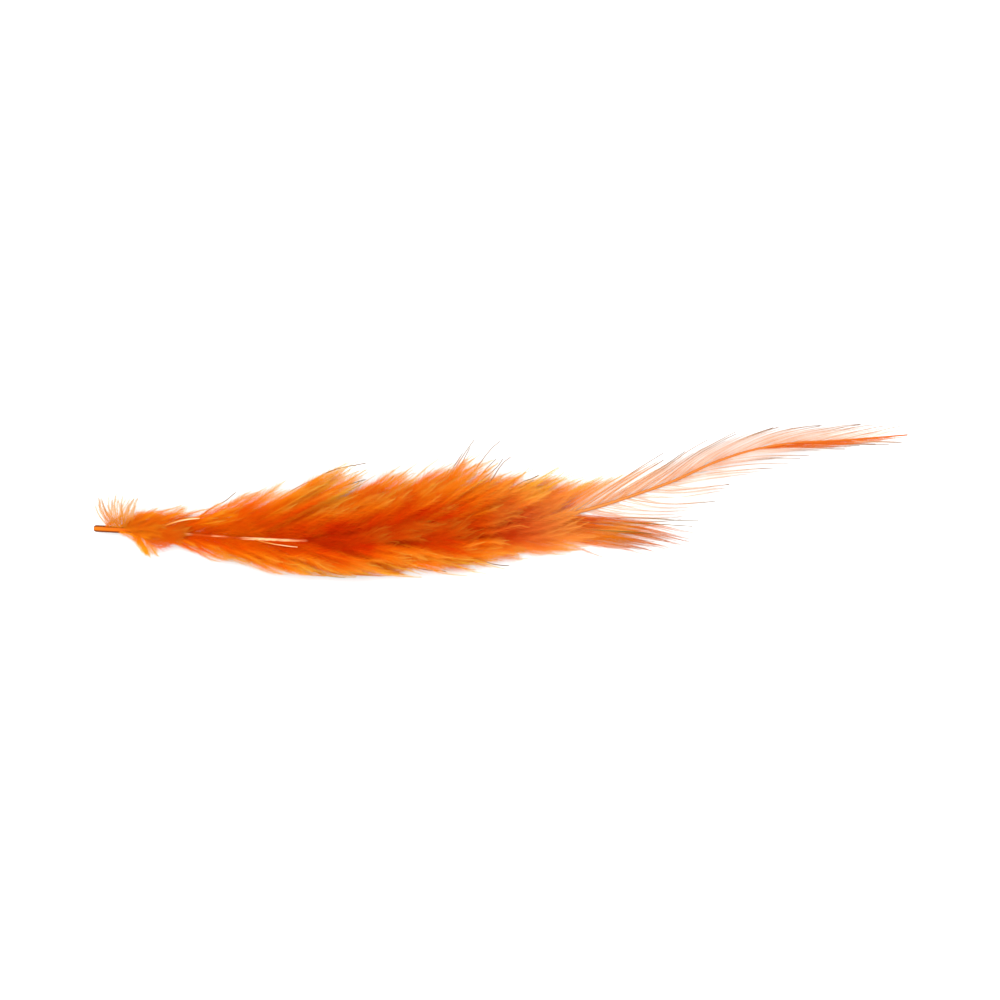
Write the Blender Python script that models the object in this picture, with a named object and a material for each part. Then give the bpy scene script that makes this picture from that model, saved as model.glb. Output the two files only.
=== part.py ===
"""Rooster hackle: one dyed neck feather of a rooster, lying on a flat surface.

A feather grows as one piece, so it is one solid: a bare quill that tapers into the shaft, a vane
on each side that parts into pointed locks, loose plumes of down that stand up from the lower
half, and the small afterfeather that curls back beside the quill.

Lengths are in metres and angles in degrees. +X runs from the quill to the tip, +Y is across the
feather and +Z is up from the surface that it lies on. A place is a distance along the shaft from
the cut end of the quill.
"""

import math
import random

import bmesh
import bpy
import numpy as np

# Where the cut end lies, so that the origin is under the middle of the whole feather.
QUILL_END = (-0.0523, -0.00365)

# The shaft's course seen from above, from the cut end of the quill to the tip.
SHAFT_COURSE = [
    (0.0, 0.0),
    (0.0073, -0.0004),
    (0.0191, -0.0013),
    (0.0279, -0.0016),
    (0.0387, -0.0012),
    (0.0505, 0.0002),
    (0.0643, 0.0026),
    (0.0702, 0.0045),
    (0.0749, 0.0062),
    (0.0797, 0.0084),
    (0.0845, 0.0100),
    (0.0892, 0.0109),
    (0.0957, 0.0113),
    (0.1046, 0.0120),
]
QUILL_RADIUS = 0.00044
TIP_RADIUS = 0.00012
SHAFT_SIDES = 8
SHAFT_RINGS = 44

# The middle of the shaft lies on the surface, and both ends rise from it.
FLAT_FROM, FLAT_TO = 0.020, 0.068
QUILL_RISE = 0.0010
TIP_RISE = 0.0042

# Barbs on each side: (place, length, the angle at which they leave the shaft).
PLUS_Y_BARBS = [
    (0.004, 0.0045, 48.0),
    (0.008, 0.0070, 36.0),
    (0.013, 0.0108, 31.0),
    (0.018, 0.0146, 32.0),
    (0.030, 0.0168, 32.0),
    (0.036, 0.0172, 32.0),
    (0.042, 0.0164, 30.0),
    (0.048, 0.0152, 27.0),
    (0.057, 0.0140, 22.0),
    (0.066, 0.0130, 16.0),
    (0.074, 0.0128, 15.0),
    (0.082, 0.0136, 13.0),
    (0.090, 0.0118, 12.0),
    (0.096, 0.0086, 11.0),
    (0.103, 0.0036, 9.0),
]
MINUS_Y_BARBS = [
    (0.004, 0.0040, 30.0),
    (0.007, 0.0048, 20.0),
    (0.011, 0.0068, 22.0),
    (0.013, 0.0086, 27.0),
    (0.017, 0.0117, 32.0),
    (0.022, 0.0136, 31.0),
    (0.038, 0.0146, 29.0),
    (0.046, 0.0148, 28.0),
    (0.056, 0.0140, 28.0),
    (0.062, 0.0134, 29.0),
    (0.069, 0.0120, 32.0),
    (0.073, 0.0118, 25.0),
    (0.077, 0.0130, 18.0),
    (0.080, 0.0130, 12.0),
    (0.086, 0.0110, 7.5),
    (0.092, 0.0090, 6.0),
    (0.103, 0.0036, 6.0),
]
DOWN_BEND, VANE_BEND = 0.68, 0.55  # the share of its angle that a barb has lost by its tip
DOWN_END = 0.054  # loose down below this place, a flat open vane above it
DOWN_CHANGE = 0.010

# Locks: the groups that the barbs of a vane cling together in.
LOCKS_PER_SIDE = 24
FIRST_PLACE, LAST_PLACE = 0.0030, 0.1020
PLUS_Y_OFFSET, MINUS_Y_OFFSET = 0.3, 0.7  # where the first lock is rooted, in spacings
LOCK_OVERLAP = 1.16  # the width of a lock's root in spacings
GATHER = 0.86  # how far a lock's edges have drawn in to its middle by the tip
DOWN_GATHER_POWER, VANE_GATHER_POWER = 2.4, 1.3  # how late along its length they do so
LOCK_ROWS = 6
DOWN_THICKNESS = 0.00075
VANE_THICKNESS = 0.00036
ALTERNATE_LIFT = 0.00009  # every other lock lies this much higher
DOWN_ARCH = 0.0018  # how high the lowest down bows between the shaft and its tips
VANE_ARCH = 0.00015
VANE_DROOP = 0.0004
CLEARANCE = 0.00003
ROOT_DEPTH = 0.45  # how far past the shaft's middle a lock is rooted, in radii of the shaft
ROOT_HEIGHT = 1.1  # a lock's thickness where it is rooted, in radii of the shaft
FULL_FROM = 0.22  # the share of its length at which a lock has its full thickness

# Tufts: loose locks that stand up over the down, and the long barbs under the lower end of the
# open vane, which bend outwards: (place, side, length, angle, bend, rise of the tip).
TUFTS = [
    (0.0050, 1, 0.0077, 32.0, 0.40, 0.0016),
    (0.0098, 1, 0.0119, 25.0, 0.35, 0.0022),
    (0.0121, 1, 0.0138, 34.0, 0.35, 0.0028),
    (0.0168, 1, 0.0185, 37.0, 0.35, 0.0048),
    (0.0194, 1, 0.0181, 37.0, 0.35, 0.0044),
    (0.0236, 1, 0.0158, 32.0, 0.35, 0.0032),
    (0.0276, 1, 0.0166, 34.0, 0.35, 0.0038),
    (0.0320, 1, 0.0164, 35.0, 0.35, 0.0044),
    (0.0348, 1, 0.0170, 35.0, 0.35, 0.0052),
    (0.0373, 1, 0.0168, 36.0, 0.35, 0.0054),
    (0.0399, 1, 0.0156, 31.0, 0.35, 0.0042),
    (0.0426, 1, 0.0148, 25.5, 0.35, 0.0034),
    (0.0454, 1, 0.0152, 24.0, 0.35, 0.0028),
    (0.0100, -1, 0.0090, 24.0, 0.50, 0.0016),
    (0.0170, -1, 0.0124, 28.0, 0.50, 0.0032),
    (0.0245, -1, 0.0136, 26.0, 0.50, 0.0042),
    (0.0320, -1, 0.0138, 24.0, 0.50, 0.0046),
    (0.0400, -1, 0.0138, 24.0, 0.50, 0.0034),
    (0.0530, -1, 0.0200, 15.0, -1.20, 0.0004),
    (0.0560, -1, 0.0208, 15.0, -1.50, 0.0002),
    (0.0590, -1, 0.0190, 15.0, -1.60, 0.0000),
]
TUFT_WIDTH = 0.0040

# Crest: locks that run along over the shaft and hide it: (place, side, length, rise of the tip).
CREST = [
    (0.0034, 1, 0.0066, 0.0012),
    (0.0056, -1, 0.0070, 0.0014),
    (0.0268, -1, 0.0130, 0.0022),
    (0.0316, 1, 0.0140, 0.0026),
    (0.0366, -1, 0.0136, 0.0024),
    (0.0420, 1, 0.0140, 0.0022),
    (0.0470, -1, 0.0165, 0.0016),
]
CREST_WIDTH = 0.0024
CREST_ROOT = 0.15  # the width of a crest lock's root in widths
CREST_FULL_FROM = 0.45  # the share of its length at which it has its full width
CREST_BOW = 0.0008  # how far it swings to its side of the shaft on its way
CREST_DRIFT = 0.0010  # how far its tip lies to +Y of the shaft

# Afterfeather beside the quill, which stands nearly straight out or curls back from the vane:
# (place, side, length, angle, rise of the tip).
AFTERFEATHER = [
    (0.0030, 1, 0.0052, 142.0, 0.0018),
    (0.0035, 1, 0.0050, 116.0, 0.0026),
    (0.0040, 1, 0.0048, 90.0, 0.0020),
    (0.0054, -1, 0.0042, 62.0, 0.0016),
]
AFTERFEATHER_BEND = 0.35
AFTERFEATHER_WIDTH = 0.0015
AFTERFEATHER_THICKNESS = 0.0006
LOOSE_ARCH = 0.3  # how high a loose lock bows, in rises of its tip

SHARP_FROM = 50.0  # edges that bend more than this stay sharp
SEED = 11
DYED_ORANGE = (0.80, 0.16, 0.012, 1.0)


def smooth_step(share):
    share = min(max(share, 0.0), 1.0)
    return share * share * (3.0 - 2.0 * share)


def downiness(place):
    """1 in the loose down, 0 in the flat vane, and between them where one turns into the other."""
    return 1.0 - smooth_step((place - DOWN_END + DOWN_CHANGE) / (2.0 * DOWN_CHANGE))


def barb_at(place, side):
    """Length and angle of the barbs that grow at a place, on one side."""
    places, lengths, angles = zip(*(PLUS_Y_BARBS if side > 0 else MINUS_Y_BARBS))
    return float(np.interp(place, places, lengths)), float(np.interp(place, places, angles))


class Shaft:
    """The shaft's course as a smooth curve, which is read by distance from the cut end."""

    SAMPLES = 800

    def __init__(self):
        knots = np.array(SHAFT_COURSE) + np.array(QUILL_END)
        slopes = np.gradient(knots[:, 1], knots[:, 0])
        x = np.linspace(knots[0, 0], knots[-1, 0], self.SAMPLES)
        part = np.clip(np.searchsorted(knots[:, 0], x, side="right") - 1, 0, len(knots) - 2)
        width = knots[part + 1, 0] - knots[part, 0]
        t = (x - knots[part, 0]) / width
        y = (
            (2 * t**3 - 3 * t**2 + 1) * knots[part, 1]
            + (t**3 - 2 * t**2 + t) * width * slopes[part]
            + (3 * t**2 - 2 * t**3) * knots[part + 1, 1]
            + (t**3 - t**2) * width * slopes[part + 1]
        )
        self.course = np.stack([x, y], axis=1)
        steps = np.linalg.norm(np.diff(self.course, axis=0), axis=1)
        self.places = np.concatenate([[0.0], np.cumsum(steps)])
        self.length = float(self.places[-1])
        self.ways = np.gradient(self.course, self.places, axis=0)

    def radius(self, place):
        share = min(max(place / self.length, 0.0), 1.0)
        return TIP_RADIUS + (QUILL_RADIUS - TIP_RADIUS) * (1.0 - share**1.2)

    def height(self, place):
        """Height of the shaft's middle, whose underside is flat."""
        rise = 0.0
        if place < FLAT_FROM:
            rise = QUILL_RISE * ((FLAT_FROM - place) / FLAT_FROM) ** 2
        if place > FLAT_TO:
            rise = TIP_RISE * ((place - FLAT_TO) / (self.length - FLAT_TO)) ** 2
        return rise + self.radius(place) * math.cos(math.pi / SHAFT_SIDES)

    def frame(self, place):
        """A point of the course and the ways along and across it. It runs on straight past its ends."""
        inside = min(max(place, 0.0), self.length)
        point = np.array([np.interp(inside, self.places, self.course[:, i]) for i in (0, 1)])
        along = np.array([np.interp(inside, self.places, self.ways[:, i]) for i in (0, 1)])
        along = along / np.linalg.norm(along)
        across = np.array([-along[1], along[0]])
        return point + along * (place - inside), along, across


SHAFT = Shaft()


class Lock:
    """A group of barbs that leave the shaft side by side and draw together towards one tip.

    Each kind of lock has its own barb_point(shift, share), a point on the barb that is this far
    from the lock's middle barb, at a share of its length.
    """

    def __init__(self, place, side, length, span, thickness, tip_rise, arch=None):
        soft = downiness(place)
        self.gather_power = DOWN_GATHER_POWER * soft + VANE_GATHER_POWER * (1.0 - soft)
        self.place = place
        self.side = side
        self.length = length
        self.span = span
        self.thickness = thickness
        self.tip_rise = tip_rise
        self.arch = tip_rise * LOOSE_ARCH if arch is None else arch

    def rise(self, share):
        """Height above the shaft's middle, on a bow from the root to the tip."""
        return self.tip_rise * share + self.arch * 4.0 * share * (1.0 - share)

    def half_thickness(self, share):
        """Half of the blade's thickness, which is thin enough at the root to stay in the shaft."""
        root = ROOT_HEIGHT * SHAFT.radius(self.place) / 2
        full = self.thickness / 2 * (1.0 - 0.6 * share)
        return min(root, full) + (full - min(root, full)) * smooth_step(share / FULL_FROM)

    def rings(self):
        """Rings of four corners each, from the shaft outwards, and the tip."""
        rings = []
        for share in np.linspace(0.0, 1.0, LOCK_ROWS + 1)[:-1]:
            middle = self.barb_point(0.0, share)
            half = self.half_thickness(share)
            lift = max(middle[2], half + CLEARANCE) - middle[2]
            drawn_in = GATHER * share**self.gather_power
            edges = []
            for shift in (-self.span / 2, self.span / 2):
                edge = self.barb_point(shift, share)
                edges.append(edge + (middle - edge) * drawn_in + np.array([0.0, 0.0, lift]))
            top = middle + np.array([0.0, 0.0, lift + half])
            bottom = middle + np.array([0.0, 0.0, lift - half])
            rings.append([edges[0], top, edges[1], bottom])
        tip = self.barb_point(0.0, 1.0)
        tip[2] = max(tip[2], CLEARANCE)
        return rings, tip


class SweptLock(Lock):
    """A lock that leaves the shaft at an angle and bends forward. Its barbs are shifted along it."""

    def __init__(self, angle, bend, **common):
        super().__init__(**common)
        self.angle = math.radians(angle)
        self.bend = bend

    def barb_point(self, shift, share):
        turn = self.angle * self.bend
        now = self.angle - turn * share
        ahead = self.length * (math.sin(self.angle) - math.sin(now)) / turn
        out = self.length * (math.cos(now) - math.cos(self.angle)) / turn
        out -= ROOT_DEPTH * SHAFT.radius(self.place) * (1.0 - share)
        place = self.place + shift + ahead
        point, _, across = SHAFT.frame(place)
        plan = point + across * self.side * out
        return np.array([plan[0], plan[1], SHAFT.height(place) + self.rise(share)])


class CrestLock(Lock):
    """A lock that runs along over the shaft, with its barbs beside each other across it."""

    def barb_point(self, shift, share):
        place = self.place + self.length * share
        point, _, across = SHAFT.frame(place)
        width = CREST_ROOT + (1.0 - CREST_ROOT) * smooth_step(share / CREST_FULL_FROM)
        out = self.side * CREST_BOW * math.sin(math.pi * share) + shift * width
        out += CREST_DRIFT * share * share
        plan = point + across * out
        return np.array([plan[0], plan[1], SHAFT.height(place) + self.rise(share)])


def vane_locks(side):
    """The locks of one vane, from the quill to the tip."""
    dice = random.Random(SEED + side)
    spacing = (LAST_PLACE - FIRST_PLACE) / LOCKS_PER_SIDE
    offset = PLUS_Y_OFFSET if side > 0 else MINUS_Y_OFFSET
    for index in range(LOCKS_PER_SIDE):
        place = FIRST_PLACE + spacing * (index + offset)
        soft = downiness(place)
        length, angle = barb_at(place, side)
        down_tip = dice.uniform(-0.0004, 0.0006) - SHAFT.height(place)
        yield SweptLock(
            angle=angle + dice.uniform(-3.0, 3.0) * soft,
            bend=VANE_BEND + (DOWN_BEND - VANE_BEND) * soft,
            place=place,
            side=side,
            length=length * dice.uniform(0.92, 1.06),
            span=spacing * LOCK_OVERLAP,
            thickness=VANE_THICKNESS + (DOWN_THICKNESS - VANE_THICKNESS) * soft,
            arch=VANE_ARCH + (DOWN_ARCH * dice.uniform(0.6, 1.0) - VANE_ARCH) * soft,
            tip_rise=down_tip * soft - VANE_DROOP * (1.0 - soft) + ALTERNATE_LIFT * (index % 2),
        )


def tufts():
    for place, side, length, angle, bend, rise in TUFTS:
        yield SweptLock(
            angle=angle,
            bend=bend,
            place=place,
            side=side,
            length=length,
            span=TUFT_WIDTH,
            thickness=DOWN_THICKNESS,
            tip_rise=rise,
        )


def crest():
    for place, side, length, rise in CREST:
        yield CrestLock(
            place=place,
            side=side,
            length=length,
            span=CREST_WIDTH,
            thickness=DOWN_THICKNESS,
            tip_rise=rise,
        )


def afterfeather():
    for place, side, length, angle, rise in AFTERFEATHER:
        yield SweptLock(
            angle=angle,
            bend=AFTERFEATHER_BEND,
            place=place,
            side=side,
            length=length,
            span=AFTERFEATHER_WIDTH,
            thickness=AFTERFEATHER_THICKNESS,
            tip_rise=rise,
        )


def skin(bm, rings, tip=None):
    """Closes a row of rings into a solid that ends in a flat face or in a point."""
    rows = [[bm.verts.new(corner) for corner in ring] for ring in rings]
    count = len(rings[0])
    for row, following in zip(rows, rows[1:]):
        for i in range(count):
            j = (i + 1) % count
            bm.faces.new((row[i], row[j], following[j], following[i]))
    bm.faces.new(rows[0])
    if tip is None:
        bm.faces.new(rows[-1])
        return
    point = bm.verts.new(tip)
    for i in range(count):
        bm.faces.new((rows[-1][i], rows[-1][(i + 1) % count], point))


def object_from(bm, name):
    bmesh.ops.triangulate(bm, faces=[face for face in bm.faces if len(face.verts) == 4])
    bmesh.ops.recalc_face_normals(bm, faces=bm.faces[:])
    mesh = bpy.data.meshes.new(name)
    bm.to_mesh(mesh)
    bm.free()
    mesh.shade_smooth()
    mesh.set_sharp_from_angle(angle=math.radians(SHARP_FROM))
    made = bpy.data.objects.new(name, mesh)
    bpy.context.scene.collection.objects.link(made)
    return made


def make_shaft(name):
    """Quill and shaft as one tapering rod with eight sides, one of which faces down."""
    bm = bmesh.new()
    rings = []
    for place in np.linspace(0.0, SHAFT.length, SHAFT_RINGS):
        point, _, across = SHAFT.frame(place)
        radius = SHAFT.radius(place)
        ring = []
        for i in range(SHAFT_SIDES):
            angle = 2.0 * math.pi * (i + 0.5) / SHAFT_SIDES
            plan = point + across * math.cos(angle) * radius
            ring.append((plan[0], plan[1], SHAFT.height(place) + math.sin(angle) * radius))
        rings.append(ring)
    skin(bm, rings)
    return object_from(bm, name)


def make_locks(name, locks):
    """A guide that holds a row of locks. Each is a closed, pointed blade."""
    bm = bmesh.new()
    for lock in locks:
        rings, tip = lock.rings()
        skin(bm, rings, tip)
    guide = object_from(bm, name)
    guide.hide_render = True
    guide.display_type = "WIRE"
    return guide


def join(feather, guide):
    union = feather.modifiers.new("join_" + guide.name, "BOOLEAN")
    union.operation = "UNION"
    union.object = guide
    union.solver = "EXACT"
    union.use_self = True


def dyed_feather():
    material = bpy.data.materials.new("dyed_feather")
    material.use_nodes = True
    shader = material.node_tree.nodes["Principled BSDF"]
    shader.inputs["Base Color"].default_value = DYED_ORANGE
    shader.inputs["Roughness"].default_value = 0.55
    shader.inputs["Metallic"].default_value = 0.0
    return material


def main():
    for old in list(bpy.data.objects):
        bpy.data.objects.remove(old)
    feather = make_shaft("hackle_feather")
    locks = [*vane_locks(1), *vane_locks(-1), *tufts(), *crest(), *afterfeather()]
    join(feather, make_locks("locks", locks))
    feather.data.materials.append(dyed_feather())


main()
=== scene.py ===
"""Looks of a rooster hackle: one dyed neck feather of a rooster, lying on a pale surface.

The feather is made as it grew: a quill that tapers into a grooved shaft, barbs that leave the
shaft in the same locks as the solid has, and barbules on the barbs. The barbules are long and soft
in the down of the lower half, and short on the open vane near the tip. Lengths are in metres and
angles in degrees. +X runs from the quill to the tip and +Z is up. A place is a distance along the
shaft from the cut end, and a share runs from 0 to 1 along whatever is spoken of.
"""

import math
import random

import bpy
import numpy as np
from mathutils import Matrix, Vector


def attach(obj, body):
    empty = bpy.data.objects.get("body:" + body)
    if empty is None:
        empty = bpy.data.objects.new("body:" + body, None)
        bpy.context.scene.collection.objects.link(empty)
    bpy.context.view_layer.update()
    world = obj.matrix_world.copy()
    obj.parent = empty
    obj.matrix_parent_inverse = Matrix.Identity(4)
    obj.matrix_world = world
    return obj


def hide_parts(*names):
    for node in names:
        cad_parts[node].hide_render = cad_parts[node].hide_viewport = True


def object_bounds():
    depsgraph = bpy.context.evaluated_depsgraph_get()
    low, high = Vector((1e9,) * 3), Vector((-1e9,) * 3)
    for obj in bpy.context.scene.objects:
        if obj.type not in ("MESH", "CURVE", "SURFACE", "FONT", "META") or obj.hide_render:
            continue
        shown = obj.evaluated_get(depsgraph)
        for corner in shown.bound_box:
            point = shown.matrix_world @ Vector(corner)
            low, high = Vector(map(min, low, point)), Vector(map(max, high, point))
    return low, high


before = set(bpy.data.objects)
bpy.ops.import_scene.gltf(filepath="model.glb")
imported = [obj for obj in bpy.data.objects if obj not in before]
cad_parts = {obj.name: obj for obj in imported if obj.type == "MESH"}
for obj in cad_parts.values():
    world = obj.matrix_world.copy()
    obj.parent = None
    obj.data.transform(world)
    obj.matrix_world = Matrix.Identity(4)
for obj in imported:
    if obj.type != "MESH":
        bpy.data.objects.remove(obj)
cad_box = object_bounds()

MM = 0.001
NODE = "hackle_feather"
CEILING = cad_box[1][2]  # the top of the solid, which the loose down stays under
EASE = 0.7 * MM  # how far before a limit the barbs begin to be held back

# The course of the shaft and the laws of its barbs, which are those of the solid.
QUILL_END = (-0.0523, -0.00365)
SHAFT_COURSE = [
    (0.0, 0.0), (0.0073, -0.0004), (0.0191, -0.0013), (0.0279, -0.0016), (0.0387, -0.0012),
    (0.0505, 0.0002), (0.0643, 0.0026), (0.0702, 0.0045), (0.0749, 0.0062), (0.0797, 0.0084),
    (0.0845, 0.0100), (0.0892, 0.0109), (0.0957, 0.0113), (0.1046, 0.0120),
]
QUILL_RADIUS = 0.00044
TIP_RADIUS = 0.00012
TAPER_POWER = 1.2
FLAT_FROM, FLAT_TO = 0.020, 0.068  # between these places the shaft lies on the surface
QUILL_RISE = 0.0010
TIP_RISE = 0.0042
SOLID_SIDES = 8  # of the solid's shaft, which lies on one of them

# The shaft that is seen is rounder, and slimmer over the open vane by this share.
SLIMMING, SLIM_FROM, SLIM_CHANGE = 0.24, 0.056, 0.014
SHAFT_SIDES, SHAFT_STATIONS = 20, 220
SHAFT_FLATNESS = 0.96  # its height in widths
# Its rounded cut edge: (place, size), with sizes in that of the shaft.
CUT_EDGE = [(0.0, 0.50), (0.00002, 0.66), (0.00009, 0.82), (0.00020, 0.93), (0.00036, 1.0)]
PAST_EDGE = 0.0006
END_SIZE = 0.35  # the size of its last ring, which closes the tip
HOLLOW_DEPTH = 0.0012  # of the hollow in the cut end
GROOVE_DEPTH, GROOVE_WIDTH, GROOVE_FROM = 0.28, 0.10, 0.010  # the groove below

# Barbs on each side: (place, length, the angle at which they leave the shaft).
PLUS_Y_BARBS = [
    (0.004, 0.0045, 48.0), (0.008, 0.0070, 36.0), (0.013, 0.0108, 31.0), (0.018, 0.0146, 32.0),
    (0.030, 0.0168, 32.0), (0.036, 0.0172, 32.0), (0.042, 0.0164, 30.0), (0.048, 0.0152, 27.0),
    (0.057, 0.0140, 22.0), (0.066, 0.0130, 16.0), (0.074, 0.0128, 15.0), (0.082, 0.0136, 13.0),
    (0.090, 0.0118, 12.0), (0.096, 0.0086, 11.0), (0.103, 0.0036, 9.0),
]
MINUS_Y_BARBS = [
    (0.004, 0.0040, 30.0), (0.007, 0.0048, 20.0), (0.011, 0.0068, 22.0), (0.013, 0.0086, 27.0),
    (0.017, 0.0117, 32.0), (0.022, 0.0136, 31.0), (0.038, 0.0146, 29.0), (0.046, 0.0148, 28.0),
    (0.056, 0.0140, 28.0), (0.062, 0.0134, 29.0), (0.069, 0.0120, 32.0), (0.073, 0.0118, 25.0),
    (0.077, 0.0130, 18.0), (0.080, 0.0130, 12.0), (0.086, 0.0110, 7.5), (0.092, 0.0090, 6.0),
    (0.103, 0.0036, 6.0),
]
BENDS = (0.55, 0.68)  # vane, down: the share of its angle that a barb has lost by its tip
DOWN_END = 0.054  # loose down below this place, an open vane above it
DOWN_CHANGE = 0.010
LOCKS_PER_SIDE = 24
FIRST_PLACE, LAST_PLACE = 0.0030, 0.1020
PLUS_Y_OFFSET, MINUS_Y_OFFSET = 0.3, 0.7  # where the first lock is rooted, in spacings
GATHER_POWERS = (1.3, 2.4)  # vane, down
DOWN_THICKNESS = 0.00075
VANE_THICKNESS = 0.00036
LOCK_THINNING = 0.6  # the share of its thickness that a lock has lost by its tip
ALTERNATE_LIFT = 0.00009  # every other lock lies this much higher
DOWN_ARCH = 0.0018  # how high the lowest down bows between the shaft and its tips
VANE_ARCH = 0.00015
VANE_DROOP = 0.0004
DOWN_TIPS = (-0.0004, 0.0006)  # between these heights the tips of the lowest down lie
ANGLE_SPREAD = (-3.0, 3.0)
LENGTH_SPREAD = (0.92, 1.06)
ARCH_SPREAD = (0.6, 1.0)

# Columns of the next tables. The side is 1 for +Y, and the tip rises over the shaft's middle.
LOCK_COLUMNS = ("place", "side", "length", "angle", "bend", "tip_rise")
# Tufts that stand up over the down.
TUFTS = [
    (0.0050, 1, 0.0077, 32.0, 0.40, 0.0016),
    (0.0098, 1, 0.0119, 25.0, 0.35, 0.0022),
    (0.0121, 1, 0.0138, 34.0, 0.35, 0.0028),
    (0.0168, 1, 0.0185, 37.0, 0.35, 0.0048),
    (0.0194, 1, 0.0181, 37.0, 0.35, 0.0044),
    (0.0236, 1, 0.0158, 32.0, 0.35, 0.0032),
    (0.0276, 1, 0.0166, 34.0, 0.35, 0.0038),
    (0.0320, 1, 0.0164, 35.0, 0.35, 0.0044),
    (0.0348, 1, 0.0170, 35.0, 0.35, 0.0052),
    (0.0373, 1, 0.0168, 36.0, 0.35, 0.0054),
    (0.0399, 1, 0.0156, 31.0, 0.35, 0.0042),
    (0.0426, 1, 0.0148, 25.5, 0.35, 0.0034),
    (0.0454, 1, 0.0152, 24.0, 0.35, 0.0028),
    (0.0100, -1, 0.0090, 24.0, 0.50, 0.0016),
    (0.0170, -1, 0.0124, 28.0, 0.50, 0.0032),
    (0.0245, -1, 0.0136, 26.0, 0.50, 0.0042),
    (0.0320, -1, 0.0138, 24.0, 0.50, 0.0046),
    (0.0400, -1, 0.0138, 24.0, 0.50, 0.0034),
]
# Long barbs under the lower end of the open vane, which bend outwards.
LOWER_BARBS = [
    (0.0530, -1, 0.0200, 15.0, -1.20, 0.0004),
    (0.0560, -1, 0.0208, 15.0, -1.50, 0.0002),
    (0.0590, -1, 0.0190, 15.0, -1.60, 0.0000),
]
TUFT_WIDTH = 0.0040

# Crest locks, which run along over the shaft: (place, side, length, rise of the tip).
CREST = [
    (0.0034, 1, 0.0066, 0.0012),
    (0.0056, -1, 0.0070, 0.0014),
    (0.0268, -1, 0.0130, 0.0022),
    (0.0316, 1, 0.0140, 0.0026),
    (0.0366, -1, 0.0136, 0.0024),
    (0.0420, 1, 0.0140, 0.0022),
    (0.0470, -1, 0.0165, 0.0016),
]
CREST_WIDTH = 0.0024
CREST_ROOT = 0.15  # the width of a crest lock's root in widths
CREST_FULL_FROM = 0.45  # the share of its length at which it has its full width
CREST_BOW = 0.0008  # how far it swings to its side of the shaft on its way
CREST_DRIFT = 0.0010  # how far its tip lies to +Y of the shaft

# Afterfeather beside the quill, in LOCK_COLUMNS.
AFTERFEATHER = [
    (0.0030, 1, 0.0052, 142.0, 0.35, 0.0018),
    (0.0035, 1, 0.0050, 116.0, 0.35, 0.0026),
    (0.0040, 1, 0.0048, 90.0, 0.35, 0.0020),
    (0.0054, -1, 0.0042, 62.0, 0.35, 0.0016),
]
AFTERFEATHER_WIDTH = 0.0015
AFTERFEATHER_THICKNESS = 0.0006
LOOSE_ARCH = 0.3  # how high a loose lock bows, in rises of its tip

SEED = 11
UPPER_DOWN_START = 0.027  # the lower down lies below this place, as a piece of its own
VANE_START = 0.061  # the barbs are pale and open from this place on
STRIP_START = 0.085  # from here the barbs of the -Y side cling to the shaft as one strip

# How many barbs a lock has: (place, barbs on the +Y side, barbs on the -Y side).
BARBS_IN_LOCK = [
    (0.000, 17, 18), (0.030, 15, 18), (0.052, 15, 16), (0.058, 13, 13), (0.063, 9, 8),
    (0.070, 7, 8), (0.084, 7, 8), (0.089, 7, 11), (0.092, 7, 14), (0.100, 6, 8),
]
PLUS_Y_TUFT_BARBS, MINUS_Y_TUFT_BARBS, LOWER_TUFT_BARBS = 17, 12, 16
CREST_BARBS = 20
AFTERFEATHER_BARBS, WEDGE_BARBS = 9, 16
# Lengths of barbules in those of the down. FLUFF gives the down's own, by place.
AFTERFEATHER_FLUFF, WEDGE_FLUFF, LOWER_BARB_FLUFF, CREST_FLUFF = 0.45, 0.75, 0.7, 1.0
FLUFF = [(0.010, 0.50), (0.019, 1.0)]
SHORT_LOCK_FLUFF = 0.5
# The barbules at the ends of the barbs of the down reach on, so the barbs are this much shorter.
PLUS_Y_REACH, MINUS_Y_REACH, TUFT_REACH = 0.96, 0.85, 0.98
# The shortest barb of a lock, of vane and of down, and the longest, in lengths of the lock.
SHORTEST, TUFT_SHORTEST, LONGEST = (0.84, 0.74), 0.80, 1.03
SHORT_AT_BACK = 0.32  # how much shorter the barbs at the back of a tuft are
DOWN_OVERLAP = 1.5  # the width of a lock of down in spacings
SCATTER = 0.09  # how unevenly the barbs of a lock are spread, in widths of the lock
STRANDS_IN_LOCK = 3  # the barbs of a lock cling together in this many strands
DOWN_CLING, VANE_CLING = 0.10, 0.84
VANE_CLINGS_FROM = 0.45  # the share of its length from which a barb of the vane clings so
DOWN_GATHER = (0.00, 0.20)  # how far the barbs of a lock of down have drawn in to its middle
BARB_ROWS = 12
BARB_RADII, BARB_TIP_RADII = (0.000042, 0.000022), (0.000008, 0.000016)  # vane, down
BARB_TAPER_POWER = 0.9
DOWN_LEAN = 6.0  # how much the angles of the barbs in a lock of down differ
MOST_INWARD, MOST_OUTWARD = -1.5, 1.3  # limits of that lean, in leans
WAVE_SIZES = (0.00006, 0.00045)  # vane, down
WAVE_TURNS = (1.1, 2.3)
WAVE_LIMIT = 1.5
BUNCH_FULL_FROM = 0.25  # the share of its length from which a lock has its full thickness
FULL_LENGTH = 0.012  # barbs shorter than this have smaller waves and barbules
FLOOR_GAP = 0.00002
SIDE_ROOM = 0.0003  # how far past the sides of the solid the barbs may reach

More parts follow.
